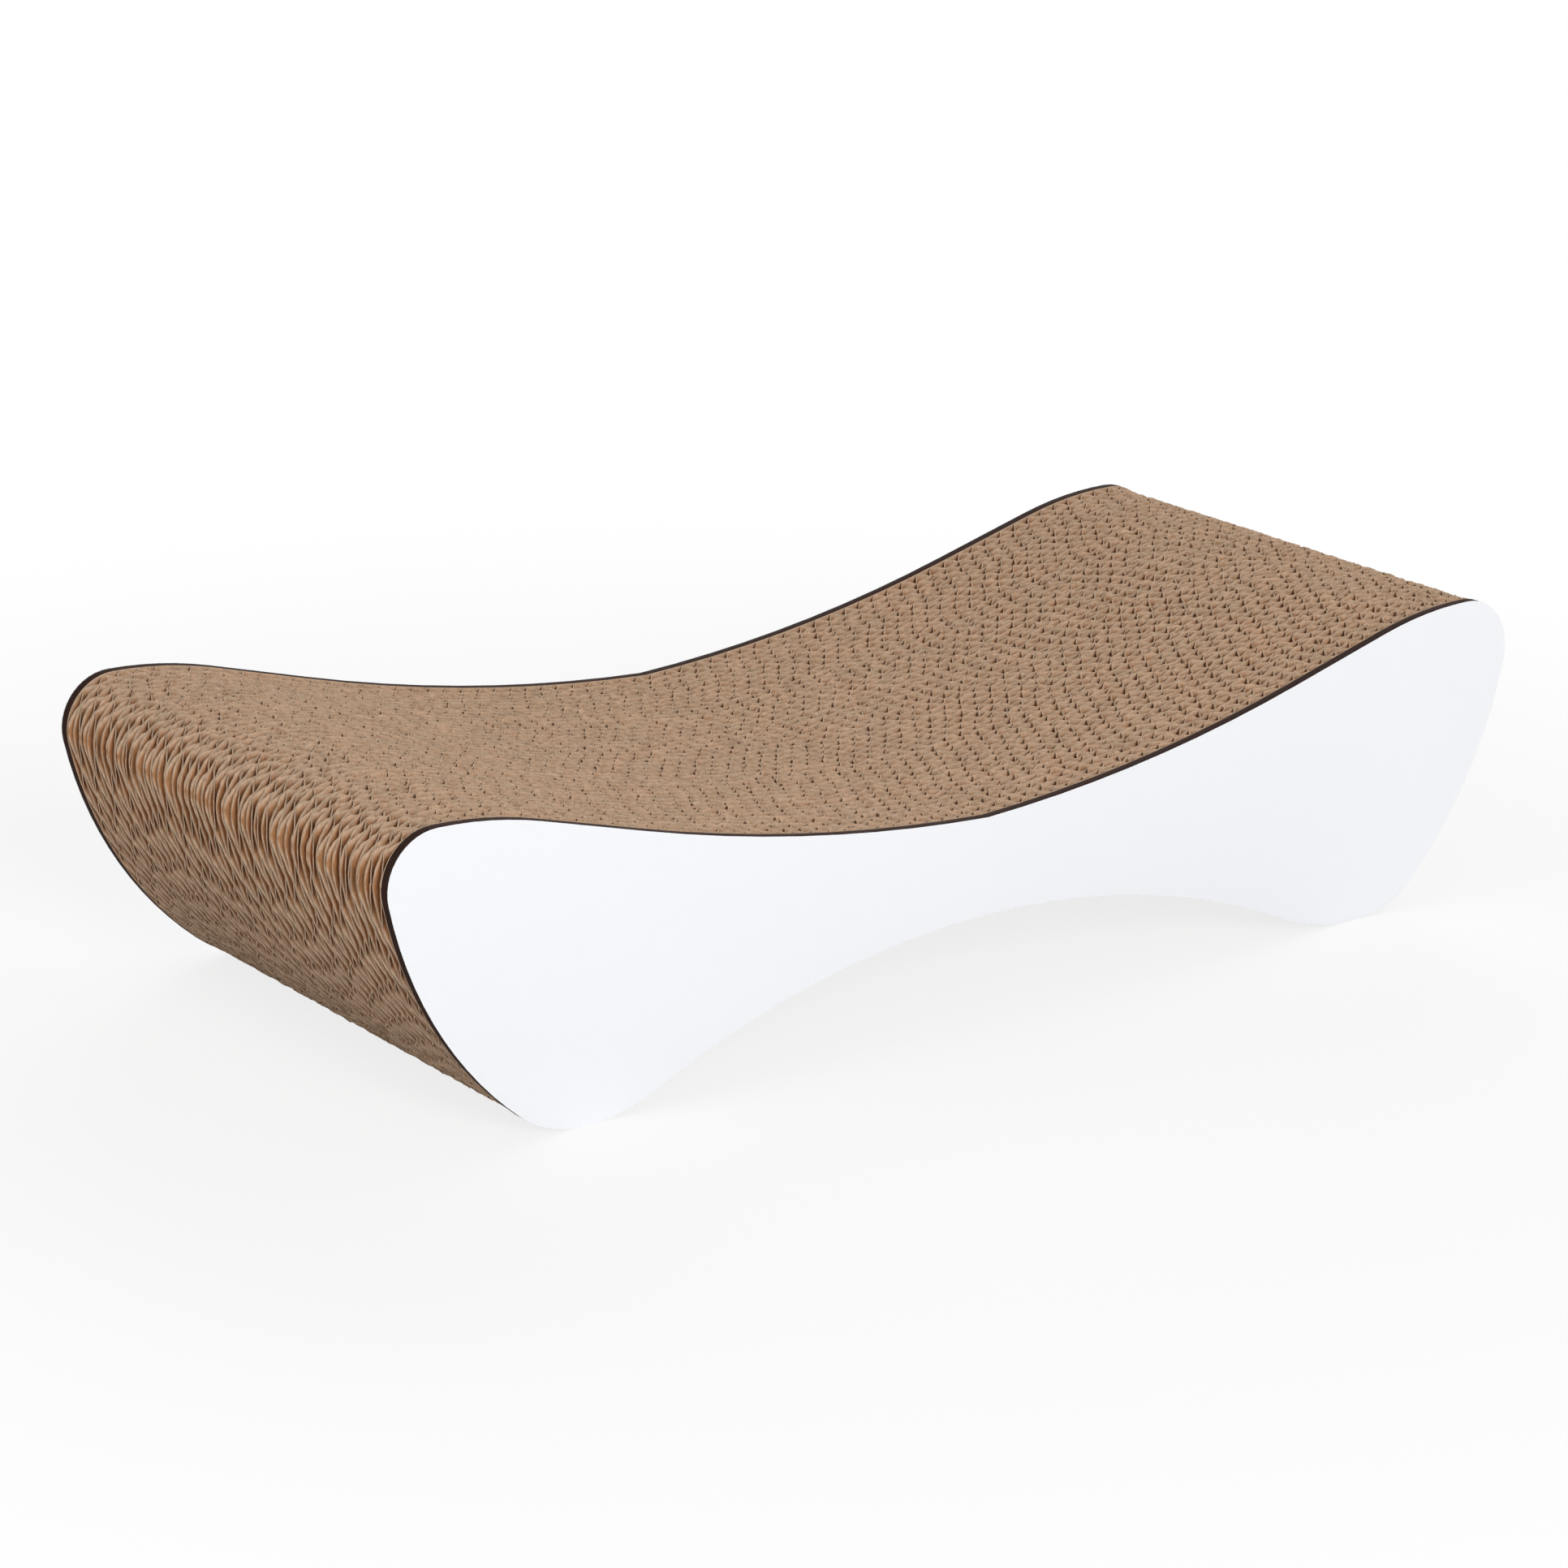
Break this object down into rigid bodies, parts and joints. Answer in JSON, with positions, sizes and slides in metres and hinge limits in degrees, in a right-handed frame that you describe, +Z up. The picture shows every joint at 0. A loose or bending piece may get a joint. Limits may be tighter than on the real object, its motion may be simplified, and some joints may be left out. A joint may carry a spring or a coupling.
{
  "type": "cardboard cat scratcher",
  "caption": "Curved lounge-shaped cat scratcher: a stack of upright corrugated cardboard sheets glued face to face between two thin white side panels of the same outline.",
  "frame": {"origin": "on the floor, under the middle of the length and of the width", "axes": "+X along the length from the low nose to the slightly higher tail, +Y across the stack of sheets from the front side panel to the back one, +Z up"},
  "size_m": [0.6, 0.24, 0.139],
  "materials": {
    "corrugated_cardboard": "brown kraft paper, matt, with open cut flutes on every edge",
    "laminated_hardboard": "white satin laminate on the outer face, dark brown fibre at the cut edge"
  },
  "bodies": {
    "root": {"side_panel_front": "laminated_hardboard", "side_panel_back": "laminated_hardboard", "sheet_01": "corrugated_cardboard", "sheet_02": "corrugated_cardboard", "sheet_03": "corrugated_cardboard", "sheet_04": "corrugated_cardboard", "sheet_05": "corrugated_cardboard", "sheet_06": "corrugated_cardboard", "sheet_07": "corrugated_cardboard", "sheet_08": "corrugated_cardboard", "sheet_09": "corrugated_cardboard", "sheet_10": "corrugated_cardboard", "sheet_11": "corrugated_cardboard", "sheet_12": "corrugated_cardboard", "sheet_13": "corrugated_cardboard", "sheet_14": "corrugated_cardboard", "sheet_15": "corrugated_cardboard", "sheet_16": "corrugated_cardboard", "sheet_17": "corrugated_cardboard", "sheet_18": "corrugated_cardboard", "sheet_19": "corrugated_cardboard", "sheet_20": "corrugated_cardboard", "sheet_21": "corrugated_cardboard"}
  },
  "joints": []
}
